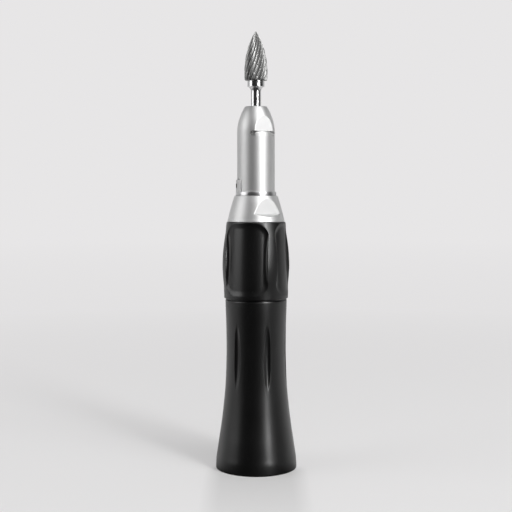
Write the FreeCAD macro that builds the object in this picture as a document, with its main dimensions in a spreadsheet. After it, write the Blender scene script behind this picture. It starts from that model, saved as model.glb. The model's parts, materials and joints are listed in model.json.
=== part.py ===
import FreeCAD, Part
import math
import os
import re
import Sketcher
from FreeCAD import Placement, Rotation, Vector

# Dental straight handpiece with a twist-grip chuck and a fluted bur, in millimetres.
# The handpiece stands on its rear end: +Z runs from the motor end to the bur, and the
# origin is the centre of the rear face. Azimuths are degrees from -Y towards +X.

sizes = [
    # rear sleeve
    ("sleeve_length", 39.75),
    ("foot_radius", 9.5),
    ("foot_chamfer", 0.25),
    ("foot_band", 0.8),
    ("flare_foot_radius", 9.4),
    ("flare_foot_height", 2.6),
    ("waist_radius", 6.95),
    ("waist_height", 28.9),
    ("sleeve_top_radius", 7.17),
    ("sleeve_edge", 0.15),
    ("groove_count", 6),
    ("groove_height", 27.5),
    ("groove_depth", 0.4),
    ("groove_half_width", 0.82),
    ("groove_floor_width", 0.5),
    ("groove_wheel_radius", 48),
    ("groove_azimuth", 21.5),
    # motor coupling
    ("socket_radius", 5.3),
    ("socket_wall", 0.7),
    ("socket_inset", 1.0),
    ("socket_length", 23.2),
    ("socket_mouth_chamfer", 0.4),
    ("snap_groove_height", 2.4),
    ("snap_groove_width", 1.2),
    ("snap_groove_depth", 0.3),
    ("socket_end_wall", 1.2),
    ("socket_end_radius", 3.5),
    # stop washer and grip ring
    ("joint_line", 0.02),
    ("stop_ring_height", 0.22),
    ("stop_ring_radius", 6.85),
    ("ring_end_gap", 0.08),
    ("ring_height", 17.76),
    ("ring_foot_radius", 7.46),
    ("ring_belly_radius", 7.9),
    ("ring_belly_height", 7.6),
    ("ring_shoulder_radius", 7.43),
    ("ring_shoulder_drop", 3.75),
    ("ring_top_radius", 6.87),
    ("ring_edge", 0.15),
    ("panel_foot_radius", 7.38),
    ("panel_top_radius", 6.62),
    ("panel_foot_height", 0.93),
    ("panel_corner_radius", 2.8),
    ("panel_arch_radius", 3.2),
    ("panel_top_drop", 0.18),
    ("panel_azimuth", -21.5),
    ("wide_panel_half_width", 5.2),
    ("narrow_panel_half_width", 4.0),
    # cam sleeve, core tube and pusher
    ("cam_outer_radius", 5.95),
    ("core_radius", 5.0),
    ("core_neck_radius", 4.8),
    ("core_bore_radius", 4.2),
    ("twist_angle", 35),
    ("chuck_stroke", 0.9),
    ("cam_pin_radius", 0.7),
    ("cam_pin_inset", 0.15),
    ("pusher_bore_radius", 3.35),
    ("pusher_flange", 1.2),
    ("pusher_flange_radius", 2.4),
    ("pin_below_flange", 1.4),
    ("pusher_skirt", 1.9),
    # cone nut, collar and nose
    ("nut_height", 5.99),
    ("nut_rim_radius", 6.66),
    ("nut_rim_chamfer", 0.1),
    ("nut_top_radius", 4.98),
    ("nut_bulge", 0.1),
    ("nut_engagement", 2.09),
    ("nut_flat_distance", 5.2),
    ("nut_flat_height", 1.89),
    ("nut_flat_runout", 0.57),
    ("flat_azimuth", 29),
    ("collar_height", 0.95),
    ("collar_radius", 4.72),
    ("collar_edge", 0.12),
    ("nose_length", 19.61),
    ("nose_radius", 4.37),
    ("ogive_length", 6.43),
    ("nose_tip_radius", 2.65),
    ("nose_tip_edge", 0.12),
    ("nose_opening_radius", 2.1),
    ("nose_flange_height", 0.9),
    ("nose_flange_radius", 4.78),
    ("nose_cap_depth", 7.03),
    ("nose_lip", 3.0),
    ("seal_radius", 2.9),
    ("nose_flat_distance", 3.66),
    ("nose_flat_drop", 5.71),
    ("nose_draft", 0.03),
    ("clip_seat_rise", 0.2),
    ("nose_groove_width", 1.0),
    ("nose_groove_depth", 0.32),
    ("nose_groove_line", 0.25),
    ("nose_groove_angle", 82),
    ("nose_groove_end_depth", 0.5),
    ("key_azimuth", -77.5),
    ("key_angle", 51),
    ("key_height", 2.75),
    ("key_radius", 4.66),
    ("key_seat_depth", 0.37),
    ("key_corner_radius", 1.2),
    ("key_hole_radius", 0.5),
    # bearings
    ("bearing_radius", 3.5),
    ("bearing_width", 2.4),
    ("outer_race_wall", 0.32),
    ("inner_race_wall", 0.32),
    ("ball_radius", 0.42),
    ("ball_count", 6),
    ("cage_height", 1.5),
    ("cage_wall", 0.4),
    ("spacer_length", 15.8),
    ("spacer_wall", 0.5),
    ("clamp_nut_height", 1.9),
    ("clamp_nut_wall", 0.35),
    ("spindle_nut_wall", 0.75),
    ("spigot_overhang", 0.6),
    ("seal_height", 1.4),
    # spindle, chuck and driver
    ("spindle_radius", 2.2),
    ("spindle_bore_radius", 1.62),
    ("spindle_collar_radius", 2.55),
    ("spindle_collar_height", 1.1),
    ("spindle_nose_radius", 2.0),
    ("spindle_inset", 0.65),
    ("chuck_taper_radius", 1.8),
    ("chuck_taper_length", 2.2),
    ("collet_inset", 0.9),
    ("collet_slit", 0.25),
    ("collet_slit_length", 13),
    ("spring_length", 6.0),
    ("spring_wire", 0.6),
    ("spring_turns", 3.5),
    ("thrust_collar_height", 2.0),
    ("thrust_collar_radius", 3.1),
    ("cross_pin_radius", 0.48),
    ("drawbar_tail", 1.9),
    ("drawbar_shoulder_height", 5.6),
    ("spindle_bore_relief", 0.6),
    ("dog_gap", 0.6),
    ("dog_height", 4.6),
    ("dog_radius", 3.0),
    ("dog_slot_width", 1.4),
    ("dog_slot_depth", 1.8),
    ("dog_grip", 2.0),
    ("bush_gap", 0.8),
    ("bush_height", 3.3),
    # bur
    ("shank_radius", 1.175),
    ("bur_length", 44.5),
    ("bur_neck_reach", 3.57),
    ("bur_neck_rise", 1.03),
    ("bur_collar_height", 1.42),
    ("bur_collar_radius", 1.97),
    ("bur_head_length", 11.27),
    ("bur_foot_radius", 2.6),
    ("bur_belly_radius", 2.72),
    ("bur_belly_height", 1.5),
    ("flute_count", 14),
    ("flute_depth", 0.3),
    ("flute_angle", 25),
    # clearances
    ("seat_gap", 0.02),
    ("running_gap", 0.04),
    ("turning_gap", 0.05),
]

doc = FreeCAD.newDocument("straight_handpiece")
sheet = doc.addObject("Spreadsheet::Sheet", "Sizes")
for row, (name, size) in enumerate(sizes, start=1):
    sheet.set(f"A{row}", name.replace("_", " "))
    sheet.set(f"B{row}", str(size))
    sheet.setAlias(f"B{row}", name)
doc.recompute()

aliases = {name for name, size in sizes}
subparts = []

# Levels along the axis, each stacked on the piece below it
stop_foot = "(sleeve_length + joint_line)"
stop_top = f"({stop_foot} + stop_ring_height)"
ring_foot = f"({stop_top} + ring_end_gap)"
ring_top = f"({ring_foot} + ring_height)"
nut_foot = f"({ring_top} + ring_end_gap)"
nut_top = f"({nut_foot} + nut_height)"
core_top = f"({nut_foot} + nut_engagement)"
flange_top = f"({core_top} + nose_flange_height)"
collar_top = f"({nut_top} + collar_height)"
nose_top = f"({collar_top} + nose_length)"
ogive_foot = f"({nose_top} - ogive_length)"
socket_top = "(socket_inset + socket_length)"

front_top = f"({nose_top} - nose_cap_depth)"
front_foot = f"({front_top} - bearing_width)"
middle_top = f"({front_foot} - spacer_length)"
middle_foot = f"({middle_top} - bearing_width)"
clamp_foot = f"({middle_foot} - clamp_nut_height)"
spigot_foot = f"({clamp_foot} - spigot_overhang)"
collar_ring_top = f"({clamp_foot} - spring_length)"
collar_ring_foot = f"({collar_ring_top} - thrust_collar_height)"
pin_level = f"({collar_ring_foot} + thrust_collar_height / 2)"
pusher_face = f"({collar_ring_foot} - 2 * turning_gap)"
cam_level = f"({pusher_face} - pusher_flange - pin_below_flange)"

dog_foot = f"({socket_top} + dog_gap)"
dog_top = f"({dog_foot} + dog_height)"
spindle_foot = f"({dog_top} - dog_grip)"
bush_foot = f"({dog_top} + bush_gap)"
spindle_top = f"({nose_top} - spindle_inset)"
collet_top = f"({nose_top} - collet_inset)"
taper_foot = f"({collet_top} - chuck_taper_length)"
neck_foot = f"({nose_top} + bur_neck_reach)"
head_foot = f"({neck_foot} + bur_neck_rise + bur_collar_height)"
bur_tip = f"({head_foot} + bur_head_length)"
bur_foot = f"({bur_tip} - bur_length)"
neck_top = f"({bur_foot} - turning_gap)"
shoulder = f"({pin_level} + drawbar_shoulder_height)"
drawbar_foot = f"({pin_level} - drawbar_tail)"

# Radii of pieces that run in or seat on one another
socket_outer = "(socket_radius + socket_wall)"
sleeve_bore = f"({socket_outer} + seat_gap)"
core_foot_radius = socket_outer
cam_bore = "(core_radius + turning_gap)"
ring_bore = "(cam_outer_radius + seat_gap)"
nose_bore = "(bearing_radius + seat_gap)"
spigot_radius = "(core_bore_radius - seat_gap)"
race_bore = "(spindle_radius + seat_gap)"
inner_land = f"({race_bore} + inner_race_wall)"
outer_land = "(bearing_radius - outer_race_wall)"
pitch_radius = f"(({inner_land} + {outer_land}) / 2)"
raceway_radius = "(ball_radius + running_gap)"
collet_radius = "(spindle_bore_radius - seat_gap)"
collet_bore = "(shank_radius + running_gap)"
nut_bore = "(nose_radius + seat_gap)"


def bound(text):
    """The expression with every size name pointed at the sheet."""
    def point(match):
        word = match.group()
        return f"Sizes.{word}" if word in aliases else word

    return re.sub(r"[a-z][a-z_]*[a-z]", point, text)


def value(text):
    """What an expression comes to now."""
    return float(sheet.evalExpression(bound(text)))


def hold(sketch, first, second, direction, text):
    """A signed distance from one sketch point to another, bound to the sheet."""
    size = value(text)
    if abs(size) < 1e-9:
        axis = -2 if direction == "DistanceX" else -1
        sketch.addConstraint(Sketcher.Constraint("PointOnObject", second[0], second[1], axis))
        return
    if size < 0:
        first, second, text = second, first, f"-({text})"
    index = sketch.addConstraint(Sketcher.Constraint(direction, *first, *second, abs(size)))
    sketch.setExpression(f"Constraints[{index}]", bound(text))


def newSketch(body, name, plane, offset="0"):
    """A sketch on one of the body's own origin planes, moved along the plane's normal."""
    sketch = body.newObject("Sketcher::SketchObject", name)
    support = [f for f in body.Origin.OriginFeatures if f.Role == plane][0]
    sketch.AttachmentSupport = [(support, "")]
    sketch.MapMode = "FlatFace"
    if offset != "0":
        sketch.setExpression("AttachmentOffset.Base.z", bound(offset))
    doc.recompute()
    return sketch


def drawOutline(sketch, points):
    """A closed outline of straight edges through (across, up) corners."""
    corners = [Vector(value(across), value(up), 0) for across, up in points]
    edges = [
        sketch.addGeometry(Part.LineSegment(start, end), False)
        for start, end in zip(corners, corners[1:] + corners[:1])
    ]
    for edge, following in zip(edges, edges[1:] + edges[:1]):
        sketch.addConstraint(Sketcher.Constraint("Coincident", edge, 2, following, 1))
    for edge, (across, up) in zip(edges, points):
        hold(sketch, (-1, 1), (edge, 1), "DistanceX", across)
        hold(sketch, (-1, 1), (edge, 1), "DistanceY", up)


def bowed(crest, end, steps):
    """Corners along a curve that is upright at its crest and falls away squarely to its end."""
    fall = f"({end[0]} - {crest[0]})"
    rise = f"({end[1]} - {crest[1]})"
    shares = [step / steps for step in range(1, steps)]
    return [(f"{crest[0]} + {fall} * {share * share}", f"{crest[1]} + {rise} * {share}") for share in shares]


def drawCircle(sketch, across, up, radius):
    """A full circle bound to the sheet."""
    centre = Vector(value(across), value(up), 0)
    geo = sketch.addGeometry(Part.Circle(centre, Vector(0, 0, 1), value(radius)), False)
    hold(sketch, (-1, 1), (geo, 3), "DistanceX", across)
    hold(sketch, (-1, 1), (geo, 3), "DistanceY", up)
    index = sketch.addConstraint(Sketcher.Constraint("Radius", geo, value(radius)))
    sketch.setExpression(f"Constraints[{index}]", bound(radius))


def drawRectangle(sketch, left, right, foot, top):
    """An upright rectangle bound to the sheet."""
    drawOutline(sketch, [(left, foot), (right, foot), (right, top), (left, top)])


def drawAxle(sketch, across, foot, top):
    """An upright construction line that a later feature turns about."""
    ends = [Vector(value(across), value(up), 0) for up in (foot, top)]
    axle = sketch.addGeometry(Part.LineSegment(*ends), True)
    for end, up in ((1, foot), (2, top)):
        hold(sketch, (-1, 1), (axle, end), "DistanceX", across)
        hold(sketch, (-1, 1), (axle, end), "DistanceY", up)
    doc.recompute()


def drawStrokeSlot(sketch, level, half):
    """A slot that lets a cross piece of the given half width rise by the chuck's stroke."""
    drawRectangle(sketch, f"-{half}", half, f"{level} - {half}", f"{level} + chuck_stroke + {half}")


def turnTo(item, azimuth):
    """Turn the finished piece so that its +X side faces the azimuth."""
    item.Placement = Placement(Vector(), Rotation(Vector(0, 0, 1), 30))
    item.setExpression("Placement.Rotation.Angle", bound(f"{azimuth} - 90"))


def turnedBody(name, points):
    """A body revolved about +Z from an outline of (radius, height) corners."""
    body = doc.addObject("PartDesign::Body", name)
    body.Label = name
    sketch = newSketch(body, f"{name}_outline", "XZ_Plane")
    drawOutline(sketch, points)
    turned = body.newObject("PartDesign::Revolution", f"{name}_turned")
    turned.Profile = (sketch, [""])
    turned.ReferenceAxis = (sketch, ["V_Axis"])
    turned.Angle = 360
    body.Tip = turned
    doc.recompute()
    subparts.append(body)
    return body


def tube(name, bore, radius, foot, top):
    """A plain turned tube."""
    return turnedBody(name, [(bore, foot), (radius, foot), (radius, top), (bore, top)])


def checkCut(body, feature, before):
    """A cut that points away from the solid takes nothing, so the volume is compared."""
    doc.recompute()
    if feature.Shape.Volume > before - 1e-4:
        raise RuntimeError(f"{body.Label}: {feature.Label} cuts nothing")


def cutAcross(body, name, plane, draw, offset="0", half="20", oneSided=False):
    """Pocket a drawn outline through the body, both ways or from the plane outwards."""
    before = body.Tip.Shape.Volume
    sketch = newSketch(body, f"{name}_outline", plane, offset)
    draw(sketch)
    doc.recompute()
    pocket = body.newObject("PartDesign::Pocket", name)
    pocket.Profile = (sketch, [""])
    pocket.Type = "Length"
    pocket.SideType = "One side" if oneSided else "Symmetric"
    pocket.setExpression("Length", bound(half if oneSided else f"2 * {half}"))
    pocket.Reversed = oneSided
    body.Tip = pocket
    checkCut(body, pocket, before)
    return pocket


def repeatAround(body, features, count, axis="V_Axis"):
    """Copy cuts evenly around +Z, which is one of the first cut's own sketch axes."""
    before = body.Tip.Shape.Volume
    pattern = body.newObject("PartDesign::PolarPattern", f"{body.Label}_around")
    pattern.Originals = features
    pattern.Axis = (features[0].Profile[0], [axis])
    pattern.Angle = 360
    if count in aliases:
        pattern.setExpression("Occurrences", bound(count))
    else:
        pattern.Occurrences = int(count)
    body.Tip = pattern
    checkCut(body, pattern, before)
    return pattern


def makeRearSleeve():
    """Flared black sleeve with shallow finger grooves ground at the waist."""
    foot = ("flare_foot_radius", "flare_foot_height")
    waist = ("waist_radius", "waist_height")
    top = ("sleeve_top_radius", "(sleeve_length - sleeve_edge)")
    body = turnedBody("rear_sleeve", [
        (sleeve_bore, "0"),
        ("foot_radius - foot_chamfer", "0"),
        ("foot_radius", "foot_chamfer"),
        ("foot_radius", "foot_band"),
        foot,
        *reversed(bowed(waist, foot, 7)),
        waist,
        *bowed(waist, top, 2),
        top,
        ("sleeve_top_radius - sleeve_edge", "sleeve_length"),
        (sleeve_bore, "sleeve_length"),
    ])
    share = "((waist_height - groove_height) / (waist_height - flare_foot_height))"
    surface = f"(waist_radius + (flare_foot_radius - waist_radius) * {share} * {share})"
    floor = f"({surface} - groove_depth)"
    rim = f"({floor} + groove_wheel_radius)"
    flank = "(groove_half_width - groove_floor_width / 2)"
    before = body.Tip.Shape.Volume
    sketch = newSketch(body, "finger_groove_outline", "XY_Plane", "groove_height")
    drawOutline(sketch, [
        (floor, "-groove_floor_width / 2"),
        (f"{floor} + 2 * groove_depth", f"-(groove_floor_width / 2 + 2 * {flank})"),
        (f"{floor} + 2 * groove_depth", f"groove_floor_width / 2 + 2 * {flank}"),
        (floor, "groove_floor_width / 2"),
    ])
    drawAxle(sketch, rim, "-groove_half_width", "groove_half_width")
    groove = body.newObject("PartDesign::Groove", "finger_groove")
    groove.Profile = (sketch, [""])
    groove.ReferenceAxis = (sketch, ["Axis0"])
    groove.Midplane = True
    groove.Angle = 40
    body.Tip = groove
    checkCut(body, groove, before)
    repeatAround(body, [groove], "groove_count", "N_Axis")
    turnTo(body, "groove_azimuth")


def makeCouplingSocket():
    """Steel liner that slides over the motor's spigot, with a groove for its snap ring."""
    groove_top = "(snap_groove_height + snap_groove_width)"
    groove_radius = "(socket_radius + snap_groove_depth)"
    turnedBody("coupling_socket", [
        ("socket_radius + socket_mouth_chamfer", "socket_inset"),
        (socket_outer, "socket_inset"),
        (socket_outer, socket_top),
        ("socket_end_radius", socket_top),
        ("socket_end_radius", f"{socket_top} - socket_end_wall"),
        ("socket_radius", f"{socket_top} - socket_end_wall"),
        ("socket_radius", groove_top),
        (groove_radius, f"{groove_top} - snap_groove_depth / 2"),
        (groove_radius, "snap_groove_height"),
        ("socket_radius", "snap_groove_height"),
        ("socket_radius", "socket_inset + socket_mouth_chamfer"),
    ])


def makeCoreTube():
    """Backbone tube; its two upright slots guide the cam pins."""
    body = turnedBody("core_tube", [
        ("core_bore_radius", socket_top),
        (core_foot_radius, socket_top),
        (core_foot_radius, stop_foot),
        ("core_radius", stop_foot),
        ("core_radius", f"{nut_foot} - ring_end_gap"),
        ("core_neck_radius", f"{nut_foot} - ring_end_gap"),
        ("core_neck_radius", core_top),
        ("core_bore_radius", core_top),
    ])
    wide = "(cam_pin_radius + turning_gap)"

    def slot(sketch):
        drawStrokeSlot(sketch, cam_level, wide)

    cutAcross(body, "pin_slots", "YZ_Plane", slot)


def makeStopRing():
    """Thin recessed washer that the grip ring turns on."""
    tube("stop_ring", "core_radius + seat_gap", "stop_ring_radius", stop_foot, stop_top)


def makeGripRing():
    """Barrel shaped twist ring; four panels are sunk between four narrow ridges."""
    foot = ("ring_foot_radius", f"({ring_foot} + ring_edge)")
    belly = ("ring_belly_radius", f"({ring_foot} + ring_belly_height)")
    neck = ("ring_shoulder_radius", f"({ring_top} - ring_shoulder_drop)")
    blank = turnedBody("grip_ring_blank", [
        (ring_bore, ring_foot),
        ("ring_foot_radius - ring_edge", ring_foot),
        foot,
        *reversed(bowed(belly, foot, 4)),
        belly,
        *bowed(belly, neck, 4),
        neck,
        ("ring_top_radius", f"{ring_top} - ring_edge"),
        ("ring_top_radius - ring_edge", ring_top),
        (ring_bore, ring_top),
    ])
    subparts.remove(blank)
    around = turnedBody("panel_floor", [
        ("panel_foot_radius", ring_foot),
        ("ring_belly_radius + 1", ring_foot),
        ("ring_belly_radius + 1", f"{ring_top} + 1"),
        ("panel_top_radius", f"{ring_top} + 1"),
        ("panel_top_radius", ring_top),
    ])
    subparts.remove(around)
    panels = []
    for index, (width, turn) in enumerate([
        ("wide_panel_half_width", 0), ("narrow_panel_half_width", 90),
        ("wide_panel_half_width", 180), ("narrow_panel_half_width", 270),
    ]):
        panels.append(makePanelCutter(index, width, turn, around))
    ring = blank
    for index, panel in enumerate(panels):
        cut = doc.addObject("Part::Cut", f"grip_ring_cut_{index}")
        cut.Base = ring
        cut.Tool = panel
        ring = cut
    ring.Label = "grip_ring"
    doc.recompute()
    subparts.append(ring)


def quarterRound(side, level, radius, rise):
    """Chord corners from a level edge to an upright side; a rise of 1 turns up and -1 turns down."""
    turns = [math.radians(angle) for angle in (0, 30, 60, 90)]
    return [
        (f"{side} - {radius} * {1 - math.sin(turn)}", f"{level} + {rise} * {radius} * {1 - math.cos(turn)}")
        for turn in turns
    ]


def makePanelCutter(index, width, turn, around):
    """One panel: a rounded outline pressed radially into the space outside the panel floor."""
    body = doc.addObject("PartDesign::Body", f"panel_{index}")
    sketch = newSketch(body, f"panel_{index}_outline", "YZ_Plane")
    low = quarterRound(width, f"{ring_foot} + panel_foot_height", "panel_corner_radius", 1)
    high = quarterRound(width, f"{ring_top} - panel_top_drop", "panel_arch_radius", -1)
    right = low + high[::-1]
    left = [(f"-({across})", up) for across, up in reversed(right)]
    drawOutline(sketch, right + left)
    pad = body.newObject("PartDesign::Pad", f"panel_{index}_pad")
    pad.Profile = (sketch, [""])
    pad.setExpression("Length", bound("ring_belly_radius + 2"))
    body.Tip = pad
    doc.recompute()
    body.Placement = Placement(Vector(), Rotation(Vector(0, 0, 1), 30))
    body.setExpression("Placement.Rotation.Angle", bound(f"panel_azimuth - 90 + {turn}"))
    common = doc.addObject("Part::Common", f"panel_{index}_cutter")
    common.Base = body
    common.Tool = around
    doc.recompute()
    return common


def makeCamSleeve():
    """Sleeve fixed in the grip ring; its two helical slots lift the cam pins."""
    foot = f"{ring_foot} + ring_edge"
    body = tube("cam_sleeve", cam_bore, "cam_outer_radius", foot, f"{ring_top} - ring_edge")
    wide = "(cam_pin_radius + turning_gap)"
    before = body.Tip.Shape.Volume
    sketch = newSketch(body, "cam_slot_outline", "XZ_Plane")
    low = f"{cam_level} - {wide} * 1.04"
    drawRectangle(sketch, f"{cam_bore} - 0.3", "cam_outer_radius + 0.3", low, f"{cam_level} + {wide} * 1.04")
    doc.recompute()
    helix = body.newObject("PartDesign::SubtractiveHelix", "cam_slot")
    helix.Profile = (sketch, [""])
    helix.ReferenceAxis = (sketch, ["V_Axis"])
    helix.Mode = "pitch-height-angle"
    helix.setExpression("Pitch", bound("chuck_stroke * 360 / twist_angle"))
    helix.setExpression("Height", bound("chuck_stroke"))
    helix.LeftHanded = True
    body.Tip = helix
    checkCut(body, helix, before)
    ends = []
    places = [("slot_start", "0", cam_level), ("slot_end", "twist_angle", f"{cam_level} + chuck_stroke")]
    for name, turn, level in places:
        before = body.Tip.Shape.Volume
        end = newSketch(body, f"{name}_outline", "YZ_Plane")
        drawCircle(end, "0", level, wide)
        if turn != "0":
            end.AttachmentOffset = Placement(Vector(), Rotation(Vector(0, 1, 0), 30))
            end.setExpression("AttachmentOffset.Rotation.Angle", bound(f"-{turn}"))
        pocket = body.newObject("PartDesign::Pocket", name)
        pocket.Profile = (end, [""])
        pocket.Type = "Length"
        pocket.setExpression("Length", bound("cam_outer_radius + 1"))
        pocket.Reversed = True
        body.Tip = pocket
        checkCut(body, pocket, before)
        ends.append(pocket)
    pattern = body.newObject("PartDesign::PolarPattern", "cam_slots")
    pattern.Originals = [helix] + ends
    pattern.Axis = (sketch, ["V_Axis"])
    pattern.Angle = 360
    pattern.Occurrences = 2
    before = body.Tip.Shape.Volume
    body.Tip = pattern
    checkCut(body, pattern, before)


def makePusher():
    """Sleeve that the cam pins lift against the thrust collar, with an inner flange."""
    top = f"({spigot_foot} - chuck_stroke - 6 * turning_gap)"
    outer = "(core_bore_radius - turning_gap)"
    body = turnedBody("push_sleeve", [
        ("pusher_bore_radius", f"{cam_level} - pusher_skirt"),
        (outer, f"{cam_level} - pusher_skirt"),
        (outer, top),
        ("pusher_bore_radius", top),
        ("pusher_bore_radius", pusher_face),
        ("pusher_flange_radius", pusher_face),
        ("pusher_flange_radius", f"{pusher_face} - pusher_flange"),
        ("pusher_bore_radius", f"{pusher_face} - pusher_flange"),
    ])

    def hole(sketch):
        drawCircle(sketch, "0", cam_level, "cam_pin_radius + seat_gap")

    cutAcross(body, "cam_pin_holes", "YZ_Plane", hole)
    pins = []
    for index, side in enumerate((1, -1)):
        pin = doc.addObject("Part::Cylinder", f"cam_pin_{index}")
        pin.setExpression("Radius", bound("cam_pin_radius"))
        pin.setExpression("Height", bound("cam_outer_radius - pusher_bore_radius - 2 * cam_pin_inset"))
        pin.Placement = Placement(Vector(), Rotation(Vector(0, 1, 0), 90 * side))
        pin.setExpression("Placement.Base.x", bound(f"{side} * (pusher_bore_radius + cam_pin_inset)"))
        pin.setExpression("Placement.Base.z", bound(cam_level))
        pins.append(pin)
    gather("cam_pins", pins)


def gather(name, solids):
    """Identical separate solids kept as one sub-part."""
    group = doc.addObject("Part::Compound", name)
    group.Label = name
    group.Links = solids
    doc.recompute()
    subparts.append(group)
    return group


def makeConeNut():
    """Silver cone that clamps the nose; two spanner flats run out above its rim."""
    rise = "(nut_height - nut_rim_chamfer)"
    fall = "(nut_top_radius - nut_rim_radius)"
    flank = [
        (
            f"nut_rim_radius + {fall} * {share} + nut_bulge * {4 * share * (1 - share)}",
            f"{nut_foot} + nut_rim_chamfer + {rise} * {share}",
        )
        for share in (0.25, 0.5, 0.75)
    ]
    body = turnedBody("cone_nut", [
        ("core_neck_radius + seat_gap", nut_foot),
        ("nut_rim_radius - nut_rim_chamfer", nut_foot),
        ("nut_rim_radius", f"{nut_foot} + nut_rim_chamfer"),
        *flank,
        ("nut_top_radius", nut_top),
        (nut_bore, nut_top),
        (nut_bore, flange_top),
        ("core_neck_radius + seat_gap", flange_top),
    ])
    ledge = f"{nut_foot} + nut_flat_height"

    def flat(sketch):
        drawOutline(sketch, [
            ("nut_flat_distance", ledge),
            ("nut_rim_radius + 1", f"{ledge} - nut_flat_runout * (nut_rim_radius + 1 - nut_flat_distance)"),
            ("nut_rim_radius + 1", f"{nut_top} + 1"),
            ("nut_flat_distance", f"{nut_top} + 1"),
        ])

    pocket = cutAcross(body, "spanner_flat", "XZ_Plane", flat)
    repeatAround(body, [pocket], "2")
    turnTo(body, "flat_azimuth")


def makeCollar():
    """Polished ring between the cone nut and the nose tube."""
    turnedBody("nose_collar", [
        (nut_bore, nut_top),
        ("collar_radius", nut_top),
        ("collar_radius", f"{collar_top} - collar_edge"),
        ("collar_radius - collar_edge", collar_top),
        (nut_bore, collar_top),
    ])


def makeNose():
    """Nose tube with its ogive, two key flats, the grooves below them and the key seat."""
    seat_foot = f"({collar_top} + key_height + clip_seat_rise)"
    shoulder_line = ("nose_radius", ogive_foot)
    tip = ("nose_tip_radius", f"({nose_top} - nose_tip_edge)")
    body = turnedBody("nose_housing", [
        (nose_bore, spigot_foot),
        (spigot_radius, spigot_foot),
        (spigot_radius, core_top),
        ("nose_flange_radius", core_top),
        ("nose_flange_radius", flange_top),
        ("nose_radius - nose_draft", flange_top),
        ("nose_radius", seat_foot),
        shoulder_line,
        *bowed(shoulder_line, tip, 6),
        tip,
        ("nose_tip_radius - nose_tip_edge", nose_top),
        ("nose_opening_radius", nose_top),
        ("nose_opening_radius", f"{nose_top} - nose_lip + seal_radius - nose_opening_radius"),
        ("seal_radius", f"{nose_top} - nose_lip"),
        ("seal_radius", front_top),
        (nose_bore, front_top),
    ])
    flat_foot = f"{nose_top} - nose_flat_drop"

    def flat(sketch):
        flat_top = f"{nose_top} - nose_tip_edge"
        drawRectangle(sketch, "nose_flat_distance", "nose_radius + 1", flat_foot, flat_top)

    pocket = cutAcross(body, "key_flat", "XZ_Plane", flat)
    repeatAround(body, [pocket], "2")
    before = body.Tip.Shape.Volume
    sketch = newSketch(body, "flat_groove_outline", "XZ_Plane")
    floor = "(nose_radius - nose_groove_depth)"
    slope = "((nose_groove_width - nose_groove_line) / nose_groove_depth)"
    drawOutline(sketch, [
        (floor, flat_foot),
        (floor, f"{flat_foot} - nose_groove_line"),
        ("nose_radius + 1", f"{flat_foot} - nose_groove_width - {slope}"),
        ("nose_radius + 1", flat_foot),
    ])
    groove = body.newObject("PartDesign::Groove", "flat_groove")
    groove.Profile = (sketch, [""])
    groove.ReferenceAxis = (sketch, ["V_Axis"])
    groove.Midplane = True
    groove.setExpression("Angle", bound("nose_groove_angle"))
    body.Tip = groove
    checkCut(body, groove, before)
    ends = []
    deep = f"({floor} - nose_groove_end_depth)"
    for index, side in enumerate(("", "-")):
        before = body.Tip.Shape.Volume
        end = newSketch(body, f"groove_end_{index}_outline", "YZ_Plane")
        drawCircle(end, "0", f"{flat_foot} - nose_groove_width / 2", "nose_groove_width / 2")
        end.AttachmentOffset = Placement(Vector(), Rotation(Vector(0, 1, 0), 30))
        end.setExpression("AttachmentOffset.Rotation.Angle", bound(f"{side}nose_groove_angle / 2"))
        reach = f"{side or '+'} {deep} * sin(nose_groove_angle / 2 * 1 deg)"
        end.setExpression("AttachmentOffset.Base.x", bound(reach))
        end.setExpression("AttachmentOffset.Base.z", bound(f"{deep} * cos(nose_groove_angle / 2 * 1 deg)"))
        pocket = body.newObject("PartDesign::Pocket", f"groove_end_{index}")
        pocket.Profile = (end, [""])
        pocket.Type = "Length"
        pocket.setExpression("Length", bound("nose_groove_depth + nose_groove_end_depth + 1"))
        pocket.Reversed = True
        body.Tip = pocket
        checkCut(body, pocket, before)
        ends.append(pocket)
    pattern = body.newObject("PartDesign::PolarPattern", "flat_grooves")
    pattern.Originals = [groove] + ends
    pattern.Axis = (sketch, ["V_Axis"])
    pattern.Angle = 360
    pattern.Occurrences = 2
    before = body.Tip.Shape.Volume
    body.Tip = pattern
    checkCut(body, pattern, before)
    turnTo(body, "flat_azimuth")


def keyBlank(name, inner, outer, foot, top, spread, corner):
    """A curved plate about the nose axis, centred on +X, with its upper corners rounded."""
    body = doc.addObject("PartDesign::Body", name)
    body.Label = name
    sketch = newSketch(body, f"{name}_outline", "XZ_Plane")
    drawRectangle(sketch, inner, outer, foot, top)
    turned = body.newObject("PartDesign::Revolution", f"{name}_turned")
    turned.Profile = (sketch, [""])
    turned.ReferenceAxis = (sketch, ["V_Axis"])
    turned.Midplane = True
    turned.setExpression("Angle", bound(spread))
    body.Tip = turned
    doc.recompute()
    level = value(top)
    corners = [
        f"Edge{number}" for number, edge in enumerate(turned.Shape.Edges, start=1)
        if all(abs(v.Z - level) < 1e-6 for v in edge.Vertexes) and edge.Curve.TypeId == "Part::GeomLine"
    ]
    rounded = body.newObject("PartDesign::Fillet", f"{name}_corners")
    rounded.Base = (turned, corners)
    rounded.setExpression("Radius", bound(corner))
    body.Tip = rounded
    doc.recompute()
    return body


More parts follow.
